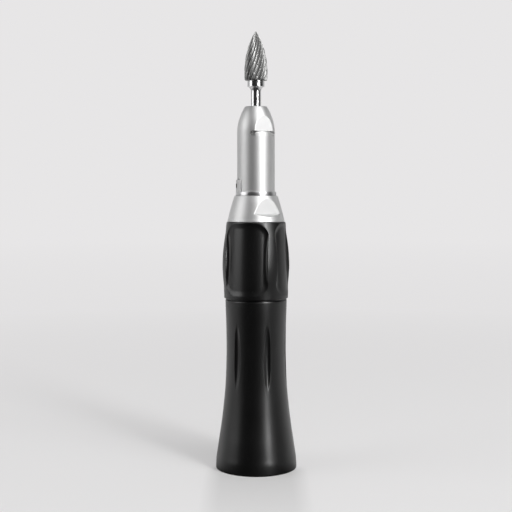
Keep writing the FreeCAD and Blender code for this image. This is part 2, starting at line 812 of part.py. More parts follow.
def makeKey():
    """Locating key let into the foot of the nose tube, with a small radial hole."""
    floor = "(nose_radius - key_seat_depth)"
    body = keyBlank(
        "locating_key", f"{floor} + seat_gap", "key_radius", collar_top, f"{collar_top} + key_height",
        "key_angle", "key_corner_radius",
    )

    def hole(sketch):
        drawCircle(sketch, "0", f"{collar_top} + key_height / 2", "key_hole_radius")

    cutAcross(body, "key_hole", "YZ_Plane", hole)
    turnTo(body, "key_azimuth")
    subparts.append(body)
    seat = keyBlank(
        "key_seat",
        floor,
        "key_radius + 1",
        f"{collar_top} - seat_gap",
        f"{collar_top} + key_height + seat_gap",
        "key_angle + 0.5", "key_corner_radius",
    )
    turnTo(seat, "key_azimuth")
    nose = [item for item in subparts if item.Label == "nose_housing"][0]
    nose.Label = "nose_blank"
    subparts.remove(nose)
    for index, tool in enumerate((seat, keyDrill())):
        cut = doc.addObject("Part::Cut", f"nose_housing_cut_{index}")
        cut.Base = nose
        cut.Tool = tool
        nose = cut
    nose.Label = "nose_housing"
    doc.recompute()
    subparts.append(nose)


def keyDrill():
    """The key's hole carried on through the wall of the nose tube."""
    body = doc.addObject("PartDesign::Body", "key_drill")
    sketch = newSketch(body, "key_drill_outline", "YZ_Plane")
    drawCircle(sketch, "0", f"{collar_top} + key_height / 2", "key_hole_radius")
    pad = body.newObject("PartDesign::Pad", "key_drill_pad")
    pad.Profile = (sketch, [""])
    pad.setExpression("Length", bound("nose_radius + 1"))
    body.Tip = pad
    doc.recompute()
    turnTo(body, "key_azimuth")
    return body


def makeBearing(name, foot):
    """Ball bearing as outer ring, inner ring, balls and cage."""
    middle = f"({foot} + bearing_width / 2)"
    top = f"({foot} + bearing_width)"
    offset = f"({outer_land} - {pitch_radius})"
    half = f"sqrt({raceway_radius} * {raceway_radius} - {offset} * {offset})"
    turnedBody(f"{name}_outer_ring", [
        (outer_land, foot),
        ("bearing_radius", foot),
        ("bearing_radius", top),
        (outer_land, top),
        (outer_land, f"{middle} + {half}"),
        (f"{pitch_radius} + {raceway_radius}", middle),
        (outer_land, f"{middle} - {half}"),
    ])
    turnedBody(f"{name}_inner_ring", [
        (race_bore, foot),
        (inner_land, foot),
        (inner_land, f"{middle} - {half}"),
        (f"{pitch_radius} - {raceway_radius}", middle),
        (inner_land, f"{middle} + {half}"),
        (inner_land, top),
        (race_bore, top),
    ])
    makeBalls(f"{name}_balls", middle)
    cage = tube(
        f"{name}_cage", f"{pitch_radius} - cage_wall / 2", f"{pitch_radius} + cage_wall / 2",
        f"{middle} - cage_height / 2", f"{middle} + cage_height / 2",
    )

    room = "(ball_radius + running_gap)"

    def window(sketch):
        drawRectangle(sketch, f"-{room}", room, f"{middle} - {room}", f"{middle} + {room}")

    pocket = cutAcross(cage, f"{name}_ball_window", "YZ_Plane", window, half="bearing_radius", oneSided=True)
    repeatAround(cage, [pocket], "ball_count")


def makeBalls(name, middle):
    """A ring of balls, each turned from an outline of ten chords."""
    body = doc.addObject("PartDesign::Body", name)
    body.Label = name
    body.AllowCompound = True
    sketch = newSketch(body, f"{name}_outline", "XZ_Plane")
    turns = [math.radians(angle) for angle in range(-90, 91, 30)]
    drawOutline(sketch, [
        (
            f"{pitch_radius} + ball_radius * {round(math.cos(turn), 6)}",
            f"{middle} + ball_radius * {math.sin(turn)}",
        )
        for turn in turns
    ])
    drawAxle(sketch, pitch_radius, f"{middle} - bearing_width", f"{middle} + bearing_width")
    turned = body.newObject("PartDesign::Revolution", f"{name}_turned")
    turned.Profile = (sketch, [""])
    turned.ReferenceAxis = (sketch, ["Axis0"])
    turned.Angle = 360
    body.Tip = turned
    doc.recompute()
    pattern = body.newObject("PartDesign::PolarPattern", f"{name}_around")
    pattern.Originals = [turned]
    pattern.Axis = (sketch, ["V_Axis"])
    pattern.Angle = 360
    pattern.setExpression("Occurrences", bound("ball_count"))
    body.Tip = pattern
    doc.recompute()
    subparts.append(body)


def makeBearingStack():
    """Spacers and clamp nuts that hold the two bearings at their spread."""
    makeBearing("front_bearing", front_foot)
    makeBearing("rear_bearing", middle_foot)
    tube("outer_spacer", "bearing_radius - spacer_wall", "bearing_radius", middle_top, front_foot)
    tube("inner_spacer", race_bore, inner_land, middle_top, front_foot)
    tube("bearing_nut", "bearing_radius - clamp_nut_wall", "bearing_radius", clamp_foot, middle_foot)
    tube("spindle_nut", race_bore, f"{race_bore} + spindle_nut_wall", clamp_foot, middle_foot)
    tube(
        "front_seal", "spindle_nose_radius + 2 * turning_gap", "seal_radius - seat_gap",
        f"{front_top} + spindle_collar_height + 4 * turning_gap",
        f"{front_top} + spindle_collar_height + 4 * turning_gap + seal_height",
    )


def makeSpindle():
    """Hollow spindle with the chuck taper at its nose and a slot for the cross pin."""
    body = turnedBody("spindle", [
        ("0", spindle_foot),
        ("spindle_radius", spindle_foot),
        ("spindle_radius", front_top),
        ("spindle_collar_radius", front_top),
        ("spindle_collar_radius", f"{front_top} + spindle_collar_height"),
        ("spindle_nose_radius", f"{front_top} + spindle_collar_height"),
        ("spindle_nose_radius", spindle_top),
        ("chuck_taper_radius + running_gap", spindle_top),
        ("chuck_taper_radius + running_gap", collet_top),
        ("spindle_bore_radius", taper_foot),
        ("spindle_bore_radius", f"{drawbar_foot} - spindle_bore_relief"),
        ("0", f"{drawbar_foot} - spindle_bore_relief"),
    ])
    wide = "(cross_pin_radius + running_gap)"

    def slot(sketch):
        drawStrokeSlot(sketch, pin_level, wide)

    cutAcross(body, "cross_pin_slot", "YZ_Plane", slot)


def makeChuck():
    """Slit collet, drawbar, cross pin, thrust collar and the spring that closes them."""
    neck = "(shank_radius - seat_gap)"
    collet = turnedBody("collet", [
        (collet_bore, shoulder),
        (collet_radius, shoulder),
        (collet_radius, taper_foot),
        ("chuck_taper_radius", collet_top),
        (collet_bore, collet_top),
    ])

    def slit(sketch):
        foot = f"{collet_top} - collet_slit_length"
        drawRectangle(sketch, "-collet_slit / 2", "collet_slit / 2", foot, f"{collet_top} + 1")

    cut = cutAcross(collet, "collet_slit_cut", "YZ_Plane", slit, half="spindle_radius", oneSided=True)
    repeatAround(collet, [cut], "3")
    drawbar = turnedBody("drawbar", [
        ("0", drawbar_foot),
        (collet_radius, drawbar_foot),
        (collet_radius, shoulder),
        (neck, shoulder),
        (neck, neck_top),
        ("0", neck_top),
    ])

    def pinHole(sketch):
        drawCircle(sketch, "0", pin_level, "cross_pin_radius + seat_gap")

    cutAcross(drawbar, "drawbar_pin_hole", "YZ_Plane", pinHole)
    collar = tube(
        "thrust_collar", "spindle_radius + running_gap", "thrust_collar_radius",
        collar_ring_foot, collar_ring_top,
    )
    cutAcross(collar, "collar_pin_hole", "YZ_Plane", pinHole)
    pin = doc.addObject("Part::Cylinder", "cross_pin")
    pin.Label = "cross_pin"
    pin.setExpression("Radius", bound("cross_pin_radius"))
    pin.setExpression("Height", bound("2 * (thrust_collar_radius - running_gap)"))
    pin.Placement = Placement(Vector(), Rotation(Vector(0, 1, 0), 90))
    pin.setExpression("Placement.Base.x", bound("-(thrust_collar_radius - running_gap)"))
    pin.setExpression("Placement.Base.z", bound(pin_level))
    doc.recompute()
    subparts.append(pin)
    makeSpring()


def makeSpring():
    """Flat-wire chuck spring between the thrust collar and the spindle nut."""
    body = doc.addObject("PartDesign::Body", "chuck_spring")
    body.Label = "chuck_spring"
    sketch = newSketch(body, "spring_wire_outline", "XZ_Plane")
    inner = "(spindle_radius + 2 * turning_gap)"
    outer = "(thrust_collar_radius - turning_gap)"
    drawRectangle(sketch, inner, outer, collar_ring_top, f"{collar_ring_top} + spring_wire")
    doc.recompute()
    coil = body.newObject("PartDesign::AdditiveHelix", "spring_coil")
    coil.Profile = (sketch, [""])
    coil.ReferenceAxis = (sketch, ["V_Axis"])
    coil.Mode = "height-turns-angle"
    coil.setExpression("Height", bound("spring_length - spring_wire"))
    coil.setExpression("Turns", bound("spring_turns"))
    body.Tip = coil
    doc.recompute()
    subparts.append(body)


def makeDriver():
    """Driving dog for the motor's tongue and the bush that steadies the spindle's tail."""
    bore = "(spindle_radius + seat_gap)"
    dog = turnedBody("drive_dog", [
        ("0", dog_foot),
        ("dog_radius", dog_foot),
        ("dog_radius", dog_top),
        (bore, dog_top),
        (bore, spindle_foot),
        ("0", spindle_foot),
    ])

    def slot(sketch):
        top = f"{dog_foot} + dog_slot_depth"
        drawRectangle(sketch, "-dog_slot_width / 2", "dog_slot_width / 2", f"{dog_foot} - 1", top)

    cutAcross(dog, "dog_slot", "YZ_Plane", slot)
    bush_top = f"{bush_foot} + bush_height"
    tube("tail_bush", "spindle_radius + running_gap", "core_bore_radius - seat_gap", bush_foot, bush_top)


def makeBur():
    """Bur with a plain shank, a polished collar and a fluted flame-shaped head."""
    turnedBody("bur_shank", [
        ("0", bur_foot),
        ("shank_radius", bur_foot),
        ("shank_radius", neck_foot),
        ("bur_collar_radius", f"{neck_foot} + bur_neck_rise"),
        ("bur_collar_radius", head_foot),
        ("0", head_foot),
    ])
    head = doc.addObject("Part::Feature", "bur_head")
    head.Label = "bur_head"
    head.Shape = flutedHead()
    head.Placement = Placement(Vector(0, 0, value(head_foot)), Rotation())
    subparts.append(head)


def headRadius(level):
    """Flame profile: a short foot, then one arc from the belly to the tip."""
    belly = value("bur_belly_radius")
    rise = value("bur_belly_height")
    if level < rise:
        foot = value("bur_foot_radius")
        return foot + (belly - foot) * math.sin(math.pi / 2 * level / rise)
    height = value("bur_head_length") - rise
    arc = (height ** 2 + belly ** 2) / (2 * belly)
    return belly - arc + math.sqrt(arc ** 2 - (level - rise) ** 2)


def flatFace(*corners):
    """A flat face between three corners."""
    return Part.Face(Part.makePolygon([*corners, corners[0]]))


def flutedHead():
    """Saw-tooth sections turned along the helix, joined by flat triangles."""
    count = int(value("flute_count"))
    length = value("bur_head_length")
    twist = math.tan(math.radians(value("flute_angle"))) / value("bur_belly_radius")
    rows = 20
    sections = []
    for row in range(rows):
        level = length * (1 - (1 - row / rows) ** 1.3)
        radius = headRadius(level)
        depth = min(value("flute_depth"), 0.22 * radius)
        points = []
        for tooth in range(count):
            lead = 2 * math.pi * tooth / count + twist * level
            back = lead + 2 * math.pi / count * 0.72
            points.append(Vector(radius * math.cos(lead), radius * math.sin(lead), level))
            points.append(Vector((radius - depth) * math.cos(back), (radius - depth) * math.sin(back), level))
        sections.append(points)
    tip = Vector(0, 0, length)
    faces = [Part.Face(Part.makePolygon(sections[0] + sections[0][:1]))]
    for index in range(2 * count):
        following = (index + 1) % (2 * count)
        for lower, upper in zip(sections, sections[1:]):
            faces.append(flatFace(lower[index], lower[following], upper[following]))
            faces.append(flatFace(lower[index], upper[following], upper[index]))
        faces.append(flatFace(sections[-1][index], sections[-1][following], tip))
    shell = Part.makeShell(faces)
    shell.sewShape()
    return Part.makeSolid(shell)


makeRearSleeve()
makeCouplingSocket()
makeCoreTube()
makeStopRing()
makeGripRing()
makeCamSleeve()
makePusher()
makeConeNut()
makeCollar()
makeNose()
makeKey()
makeBearingStack()
makeSpindle()
makeChuck()
makeDriver()
makeBur()

doc.recompute()
for item in doc.Objects:
    if "Invalid" in item.State or "Error" in item.State:
        raise RuntimeError(f"{item.Label} failed: {item.State}")
for item in subparts:
    if item.Shape.isNull() or not item.Shape.isValid():
        raise RuntimeError(f"{item.Label} has no valid shape")

os.makedirs("parts", exist_ok=True)
for item in subparts:
    item.Shape.exportStep(f"parts/{item.Label}.step")
    box = item.Shape.BoundBox
    count = len(item.Shape.Solids)
    print(f"{item.Label}: {count} solid, {item.Shape.Volume:.2f} mm3, z {box.ZMin:.2f} to {box.ZMax:.2f}")
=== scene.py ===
import bpy
import bmesh
import json
import math
from mathutils import Matrix, Vector


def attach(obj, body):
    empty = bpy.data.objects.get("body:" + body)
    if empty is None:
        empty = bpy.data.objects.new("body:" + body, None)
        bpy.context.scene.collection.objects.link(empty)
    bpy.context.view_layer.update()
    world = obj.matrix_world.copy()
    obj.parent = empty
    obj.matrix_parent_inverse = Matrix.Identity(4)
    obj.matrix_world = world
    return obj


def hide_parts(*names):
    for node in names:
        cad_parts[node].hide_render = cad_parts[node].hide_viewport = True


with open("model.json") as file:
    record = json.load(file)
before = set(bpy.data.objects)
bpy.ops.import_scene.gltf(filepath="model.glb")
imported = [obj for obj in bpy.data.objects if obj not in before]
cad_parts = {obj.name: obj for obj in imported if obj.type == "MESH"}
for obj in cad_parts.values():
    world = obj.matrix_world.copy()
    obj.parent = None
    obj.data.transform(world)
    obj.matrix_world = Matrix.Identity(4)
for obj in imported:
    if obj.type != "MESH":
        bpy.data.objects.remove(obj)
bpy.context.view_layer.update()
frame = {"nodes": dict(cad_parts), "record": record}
mm = 0.001
weld = 1e-7  # metres; points nearer than this are one point
print("frame loaded:", len(frame["nodes"]), "nodes")


class Wire:
    # a node's output that can be reckoned with like a number
    def __init__(self, tree, socket):
        self.tree = tree
        self.socket = socket

    def calc(self, operation, *values):
        return self.tree.add("ShaderNodeMath", {"operation": operation}, dict(enumerate(values)))

    def __add__(self, other):
        return self.calc("ADD", self, other)

    def __sub__(self, other):
        return self.calc("SUBTRACT", self, other)

    def __rsub__(self, other):
        return self.calc("SUBTRACT", other, self)

    def __mul__(self, other):
        return self.calc("MULTIPLY", self, other)

    def __truediv__(self, other):
        return self.calc("DIVIDE", self, other)

    __radd__ = __add__
    __rmul__ = __mul__

    def clamped(self):
        return self.tree.add("ShaderNodeClamp", {}, {0: self})


class Tree:
    # the nodes of a material or of the world
    def __init__(self, tree):
        self.nodes = tree.nodes
        self.links = tree.links
        self.nodes.clear()

    def add(self, kind, settings, values, out=0):
        node = self.nodes.new(kind)
        for key, setting in settings.items():
            setattr(node, key, setting)
        for key, amount in values.items():
            self.put(node.inputs[key], amount)
        return Wire(self, node.outputs[out])

    def put(self, socket, amount):
        if isinstance(amount, Wire):
            self.links.new(amount.socket, socket)
        else:
            socket.default_value = amount

    def vector(self, operation, *values, out=0):
        return self.add("ShaderNodeVectorMath", {"operation": operation}, dict(enumerate(values)), out)

    def ray(self, kind):
        return self.add("ShaderNodeLightPath", {}, {}, kind)

    def mixed(self, share, first, second):
        # two shaders
        return self.add("ShaderNodeMixShader", {}, {0: share, 1: first, 2: second})


class Finish(Tree):
    # one material; plain holds the shader's own constant sockets
    def __init__(self, name, plain):
        self.material = bpy.data.materials.new(name)
        self.material.use_nodes = True
        super().__init__(self.material.node_tree)
        self.shader = self.nodes.new("ShaderNodeBsdfPrincipled")
        self.output = self.nodes.new("ShaderNodeOutputMaterial")
        self.links.new(self.shader.outputs[0], self.output.inputs[0])
        for key, amount in plain.items():
            self.shader.inputs[key].default_value = amount
        self.place = self.add("ShaderNodeTexCoord", {}, {}, "Object")

    def set(self, key, amount):
        self.put(self.shader.inputs[key], amount)

    def grain(self, size, detail=2.0, stretch=(1, 1, 1)):
        # noise whose spots are about size millimetres, stretched where stretch is small
        spot = self.add("ShaderNodeMapping", {}, {"Vector": self.place, "Scale": stretch})
        values = {"Vector": spot, "Scale": 1 / (size * mm), "Detail": detail}
        return self.add("ShaderNodeTexNoise", {}, values)

    def blend(self, mask, first, second):
        # two colours; the first may be a wire
        values = {"Factor": mask, 7: (*second, 1)}
        values[6] = first if isinstance(first, Wire) else (*first, 1)
        return self.add("ShaderNodeMix", {"data_type": "RGBA"}, values, 2)

    def bump(self, height, distance, strength):
        values = {"Height": height, "Distance": distance * mm, "Strength": strength}
        self.set("Normal", self.add("ShaderNodeBump", {}, values))


def shaded(color, share):
    return tuple(c * share for c in color)


anodised = {
    "color": (0.0009, 0.0009, 0.001), "worn": (0.002, 0.002, 0.0021), "ior": 1.66, "roughness": 0.25,
    "grain": 0.09, "cloud": 5.0, "bump": 0.004,
}


def blackAnodised(name):
    f = Finish(name, {"Metallic": 0.0, "IOR": anodised["ior"]})
    fine = f.grain(anodised["grain"])
    cloud = f.grain(anodised["cloud"], 3.0)
    f.set("Base Color", f.blend((cloud * 1.6 - 0.5).clamped(), anodised["color"], anodised["worn"]))
    f.set("Roughness", fine * 0.08 + cloud * 0.05 + anodised["roughness"])
    f.bump(fine, anodised["bump"], 0.35)
    return f.material


satin = {
    "color": (0.78, 0.78, 0.78), "shade": (0.7, 0.7, 0.7), "roughness": 0.5, "grain": 0.07, "line": 0.5,
    "cloud": 4.0, "bump": 0.003,
    # the wall colour is painted shade on the key hole's drilled wall; the last two size it in hole radii
    "wall": (0.012, 0.012, 0.012), "holeShadeReach": 1.12, "holeShadeEdge": 0.1,  # the last two in hole radii
}


def satinSilver(name, hole=None):
    # hole is (middle of its mouth, its direction, its radius) in metres; the drilled wall is painted dark, as
    # painted shade inside the hole
    f = Finish(name, {"Metallic": 1.0})
    fine = f.grain(satin["grain"])
    lines = f.grain(satin["line"], 3.0, (0.02, 0.02, 6.0))
    cloud = f.grain(satin["cloud"], 3.0)
    color = f.blend((cloud * 0.7 + lines * 0.3).clamped(), satin["shade"], satin["color"])
    if hole:
        middle, out, radius = hole
        aside = f.vector("CROSS_PRODUCT", f.vector("SUBTRACT", f.place, middle), out)
        reach = f.vector("LENGTH", aside, out="Value")
        inside = ((satin["holeShadeReach"] * radius - reach) / (satin["holeShadeEdge"] * radius) + 0.6).clamped()
        # painted shade: the base colour goes dark on the hole's wall
        color = f.blend(inside, color, satin["wall"])
    f.set("Base Color", color)
    f.set("Roughness", fine * 0.08 + lines * 0.06 + (satin["roughness"] - 0.07))
    f.bump(fine * 0.6 + lines * 0.4, satin["bump"], 0.35)
    return f.material


def turnedMetal(name, color, roughness, lineSize):
    f = Finish(name, {"Metallic": 1.0})
    lines = f.grain(lineSize, 3.0, (0.02, 0.02, 1.0))
    cloud = f.grain(2.0, 2.0)
    f.set("Base Color", f.blend((cloud * 0.5 + lines * 0.5).clamped(), shaded(color, 0.82), color))
    f.set("Roughness", lines * 0.1 + cloud * 0.05 + (roughness - 0.07))
    f.bump(lines, 0.002, 0.3)
    return f.material


# the gullet colour is painted shade in the flutes' gullets
carbide = {"edge": (0.5, 0.5, 0.495), "gullet": (0.17, 0.17, 0.168), "roughness": 0.42, "grain": 0.05}


def cutCarbide(name):
    # painted shade: dark in the flutes' gullets and bright on their edges
    f = Finish(name, {"Metallic": 1.0})
    depth = f.add("ShaderNodeAttribute", {"attribute_name": "depth"}, {}, "Fac")
    fine = f.grain(carbide["grain"])
    mask = (depth * 0.9 + fine * 0.25).clamped()
    # painted shade: the gullet colour darkens the deeper cuts
    f.set("Base Color", f.blend(mask, carbide["edge"], carbide["gullet"]))
    f.set("Roughness", fine * 0.15 + depth * 0.2 + carbide["roughness"] - 0.1)
    f.bump(fine, 0.003, 0.3)
    return f.material


def mouldedPlastic(name, color, roughness):
    f = Finish(name, {"Metallic": 0.0, "IOR": 1.5})
    fine = f.grain(0.1)
    cloud = f.grain(1.5)
    f.set("Base Color", f.blend(cloud, shaded(color, 0.75), color))
    f.set("Roughness", fine * 0.12 + (roughness - 0.06))
    f.bump(fine, 0.004, 0.3)
    return f.material


finishes = {
    "black_anodised": blackAnodised("blackAnodised"),
    "satin_silver": satinSilver("satinSilver"),
    "polished_steel": turnedMetal("polishedSteel", (0.74, 0.74, 0.75), 0.3, 0.05),
    "bright_steel": turnedMetal("brightSteel", (0.66, 0.66, 0.67), 0.2, 0.06),
    "inner_steel": turnedMetal("innerSteel", (0.52, 0.52, 0.53), 0.34, 0.08),
    "bearing_steel": turnedMetal("bearingSteel", (0.62, 0.62, 0.64), 0.18, 0.05),
    "spring_steel": turnedMetal("springSteel", (0.34, 0.34, 0.36), 0.32, 0.1),
    "cage_plastic": mouldedPlastic("cagePlastic", (0.33, 0.17, 0.07), 0.45),
    "seal_rubber": mouldedPlastic("sealRubber", (0.02, 0.02, 0.021), 0.6),
    "bush_bronze": turnedMetal("bushBronze", (0.52, 0.33, 0.15), 0.36, 0.08),
    "bur_chrome": turnedMetal("burChrome", (0.78, 0.78, 0.79), 0.2, 0.05),
    "bur_carbide": cutCarbide("burCarbideGulletShade"),
}
slotOf = {row["node"]: row["material_slot"] for row in frame["record"]["subparts"]}
for nodeName, node in frame["nodes"].items():
    node.data.materials.clear()
    node.data.materials.append(finishes[slotOf[nodeName]])
print("finishes made:", len(finishes))


# from here on, lengths are in millimetres, outlines are (radius, height), and an azimuth
# of 0 is -Y and of 90 is +X
def straight(points, step):
    line = [points[0]]
    for start, end in zip(points, points[1:]):
        count = max(1, math.ceil(math.dist(start, end) / step))
        for i in range(1, count + 1):
            line.append(tuple(a + (b - a) * i / count for a, b in zip(start, end)))
    return line


def between(p, q, r, s, t):
    # a share t of the way from q to r, on a smooth line through all four
    square = (2 * p - 5 * q + 4 * r - s) * t * t
    cube = (3 * q - p - 3 * r + s) * t ** 3
    return 0.5 * (2 * q + (r - p) * t + square + cube)


def flowing(points, step):
    # one smooth line through the points
    ends = [points[0], *points, points[-1]]
    line = [points[0]]
    for a, b, c, d in zip(ends, ends[1:], ends[2:], ends[3:]):
        count = max(1, math.ceil(math.dist(b, c) / step))
        for i in range(1, count + 1):
            line.append(tuple(between(*four, i / count) for four in zip(a, b, c, d)))
    return line


def turned(outline, sides):
    # an eighth is spun and then doubled three times, which is far quicker than one full spin
    bm = bmesh.new()
    verts = [bm.verts.new((radius * mm, 0, height * mm)) for radius, height in outline]
    closed = outline[0][0] > 0
    edges = [bm.edges.new(pair) for pair in zip(verts, verts[1:] + verts[:1] if closed else verts[1:])]
    eighth = math.pi / 4
    bmesh.ops.spin(bm, geom=verts + edges, cent=(0, 0, 0), axis=(0, 0, 1), angle=eighth, steps=sides // 8)
    for eighths in (1, 2, 4):
        copied = bmesh.ops.duplicate(bm, geom=bm.verts[:] + bm.edges[:] + bm.faces[:])["geom"]
        moved = [item for item in copied if isinstance(item, bmesh.types.BMVert)]
        bmesh.ops.rotate(bm, verts=moved, cent=(0, 0, 0), matrix=Matrix.Rotation(eighths * eighth, 3, "Z"))
    bmesh.ops.remove_doubles(bm, verts=bm.verts, dist=weld)
    bmesh.ops.recalc_face_normals(bm, faces=bm.faces)
    return bm


def measured(vert):
    # a point's azimuth, height and radius
    azimuth = math.degrees(math.atan2(vert.co.x, -vert.co.y))
    return azimuth, vert.co.z / mm, math.hypot(vert.co.x, vert.co.y) / mm


def pull(vert, scale):
    vert.co.x *= scale
    vert.co.y *= scale


def reshape(bm, bore, rule):
    # rule(azimuth, height, radius) gives the outer skin's new radius; bore(height) keeps the inside out
    for vert in bm.verts:
        azimuth, height, radius = measured(vert)
        if radius > bore(height):
            pull(vert, rule(azimuth, height, radius) / radius)


def away(azimuth, middle):
    # signed degrees from middle
    return (azimuth - middle + 180) % 360 - 180


def ramp(distance, width):
    # 1 inside, 0 outside, over a narrow rounded edge
    share = min(1, max(0, 0.5 - distance / width))
    return share * share * (3 - 2 * share)


def finishPiece(name, bm, body, slot, node, sharp=32):
    mesh = bpy.data.meshes.new(name)
    bm.to_mesh(mesh)
    bm.free()
    mesh.shade_smooth()
    mesh.set_sharp_from_angle(angle=math.radians(sharp))
    mesh.materials.append(finishes[slot])
    piece = bpy.data.objects.new(name, mesh)
    bpy.context.scene.collection.objects.link(piece)
    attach(piece, body)
    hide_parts(node)
    return piece


sleeve = {
    "profile": [
        (9.5, 0.14), (9.485, 0.9), (9.4, 2.4), (9.19, 3.8), (8.77, 6.7), (8.33, 9.6), (7.95, 12.4),
        (7.62, 15.3), (7.34, 18.2), (7.15, 21.0), (7.0, 25.3), (6.95, 28.9), (7.01, 33.8), (7.12, 37.2),
        (7.17, 39.2), (7.17, 39.6),
    ],
    "topEdge": [(7.13, 39.7), (7.06, 39.75)], "footEdge": [(9.43, 0), (9.485, 0.05)],
    "top": 39.75, "bore": 6.02, "skin": 6.5, "step": 0.36, "sides": 600,
    "grooveMiddle": 27.5, "grooveDepth": 0.4, "grooveSurface": 6.955, "grooveWheel": 48,
    "grooveHalfWidth": 0.85, "grooveFirst": 21.5, "grooveCount": 6, "grooveRim": 0.03,
    "grooveAside": 1.2, "grooveAlong": 11,  # nothing is cut further than this from a groove's middle
}


def sleeveRule(azimuth, height, radius):
    # finger grooves as a large wheel cuts them, with a soft rim
    pitch = 360 / sleeve["grooveCount"]
    across = radius * math.radians((azimuth - sleeve["grooveFirst"] + pitch / 2) % pitch - pitch / 2)
    along = height - sleeve["grooveMiddle"]
    if abs(across) > sleeve["grooveAside"] or abs(along) > sleeve["grooveAlong"]:
        return radius
    floor = sleeve["grooveSurface"] - sleeve["grooveDepth"]
    floor += along ** 2 / (2 * sleeve["grooveWheel"])
    floor += sleeve["grooveDepth"] * (across / sleeve["grooveHalfWidth"]) ** 2
    depth = radius - floor
    return radius - 0.5 * (depth + math.hypot(depth, sleeve["grooveRim"]))


outline = flowing(sleeve["profile"], sleeve["step"]) + sleeve["topEdge"]
outline += [(sleeve["bore"], sleeve["top"]), (sleeve["bore"], 0)] + sleeve["footEdge"]
bm = turned(outline, sleeve["sides"])
reshape(bm, lambda height: sleeve["skin"], sleeveRule)
finishPiece("rearSleeve", bm, "housing", "black_anodised", "rear_sleeve")

stopRing = {"foot": 39.77, "top": 39.99, "radius": 6.85, "bore": 5.02, "edge": 0.04, "sides": 240}
bm = turned([
    (stopRing["radius"] - stopRing["edge"], stopRing["foot"]),
    (stopRing["radius"], stopRing["foot"] + stopRing["edge"]),
    (stopRing["radius"], stopRing["top"] - stopRing["edge"]),
    (stopRing["radius"] - stopRing["edge"], stopRing["top"]),
    (stopRing["bore"], stopRing["top"]),
    (stopRing["bore"], stopRing["foot"]),
], stopRing["sides"])
finishPiece("stopRing", bm, "housing", "black_anodised", "stop_ring")
print("rear sleeve done")


twist = {
    "profile": [
        (7.46, 40.22), (7.55, 42.3), (7.79, 45.1), (7.9, 47.7), (7.78, 50.8), (7.44, 53.9), (7.12, 55.9),
        (6.87, 57.68),
    ],
    "topEdge": [(6.83, 57.78), (6.74, 57.83)], "footEdge": [(7.32, 40.07), (7.42, 40.12)],
    "bore": 5.97, "foot": 40.07, "top": 57.83, "step": 0.15, "sides": 720,
    "floorFoot": 7.38, "floorTop": 6.62, "panelFoot": 41.0, "panelTop": 57.65, "panelCorner": 2.8,
    "panelArch": 3.2, "wall": 1.3,
    "panels": [(-21.5, 5.2), (68.5, 4.0), (158.5, 5.2), (248.5, 4.0)],  # middle's azimuth, half width
}


def panelReach(across, height, half):
    # how far outside the panel's outline a point is
    side = abs(across) - half
    arch = twist["panelArch"]
    corner = twist["panelCorner"]
    above = height - twist["panelTop"]
    below = twist["panelFoot"] - height
    if above > -arch and side > -arch:
        return math.hypot(side + arch, above + arch) - arch
    if below > -corner and side > -corner:
        return math.hypot(side + corner, below + corner) - corner
    return max(side, above, below)


def pressPanels(bm):
    # each panel's skin moves straight in, so its walls stay parallel to the panel's middle
    for vert in bm.verts:
        azimuth, height, radius = measured(vert)
        share = (height - twist["foot"]) / (twist["top"] - twist["foot"])
        floor = twist["floorFoot"] + (twist["floorTop"] - twist["floorFoot"]) * share
        if radius < floor:
            continue
        for middle, half in twist["panels"]:
            turn = math.radians(away(azimuth, middle))
            across = radius * math.sin(turn)
            if math.cos(turn) < 0 or abs(across) > half:
                continue
            depth = min(1, max(0, -panelReach(across, height, half) / twist["wall"]))
            inside = 1 - (1 - depth) ** 2
            fall = radius * math.cos(turn) - math.sqrt(floor ** 2 - across ** 2)
            vert.co.x -= math.sin(math.radians(middle)) * fall * inside * mm
            vert.co.y += math.cos(math.radians(middle)) * fall * inside * mm


outline = flowing(twist["profile"], twist["step"]) + twist["topEdge"]
outline += [(twist["bore"], twist["top"]), (twist["bore"], twist["foot"])] + twist["footEdge"]
bm = turned(outline, twist["sides"])
pressPanels(bm)
finishPiece("twistRing", bm, "twist_ring", "black_anodised", "grip_ring")
print("twist ring done")


flatReach = 1.4  # radians; how far round from its middle a spanner flat may cut

coneNut = {
    "profile": [
        (6.66, 58.01), (6.62, 58.25), (6.47, 58.8), (6.26, 59.7), (6.01, 60.6), (5.76, 61.5), (5.48, 62.5),
        (5.18, 63.4), (5.0, 63.9),
    ],
    "inside": [(4.39, 63.9), (4.39, 60.9), (4.82, 60.9), (4.82, 57.91)],
    "footEdge": [(6.56, 57.91), (6.63, 57.94)], "skin": 4.95, "step": 0.06, "sides": 600,
    "flatAt": 29, "flatDistance": 5.2, "flatFoot": 59.8, "runOut": 0.57,
}


def nutRule(azimuth, height, radius):
    # below its foot each flat runs out of the cone
    plane = coneNut["flatDistance"] + max(0, coneNut["flatFoot"] - height) / coneNut["runOut"]
    for middle in (coneNut["flatAt"], coneNut["flatAt"] + 180):
        turn = math.radians(away(azimuth, middle))
        if abs(turn) < flatReach:
            radius = min(radius, plane / math.cos(turn))
    return radius


outline = flowing(coneNut["profile"], coneNut["step"]) + coneNut["inside"] + coneNut["footEdge"]
bm = turned(outline, coneNut["sides"])
reshape(bm, lambda height: coneNut["skin"], nutRule)
finishPiece("coneNut", bm, "housing", "satin_silver", "cone_nut")

collar = {
    "radius": 4.72, "foot": 63.92, "top": 64.85, "bore": 4.39, "sides": 240,
    "footEdge": 0.05, "topEdge": 0.12, "fall": 0.04, "crown": 0.03,
}
bm = turned([
    (collar["radius"] - collar["fall"], collar["foot"]),
    (collar["radius"], collar["foot"] + collar["footEdge"]),
    (collar["radius"], collar["top"] - collar["topEdge"]),
    (collar["radius"] - collar["fall"], collar["top"] - collar["crown"]),
    (collar["radius"] - collar["topEdge"], collar["top"]),
    (collar["bore"], collar["top"]),
    (collar["bore"], collar["foot"]),
], collar["sides"])
finishPiece("noseCollar", bm, "housing", "polished_steel", "nose_collar")
print("cone nut done")


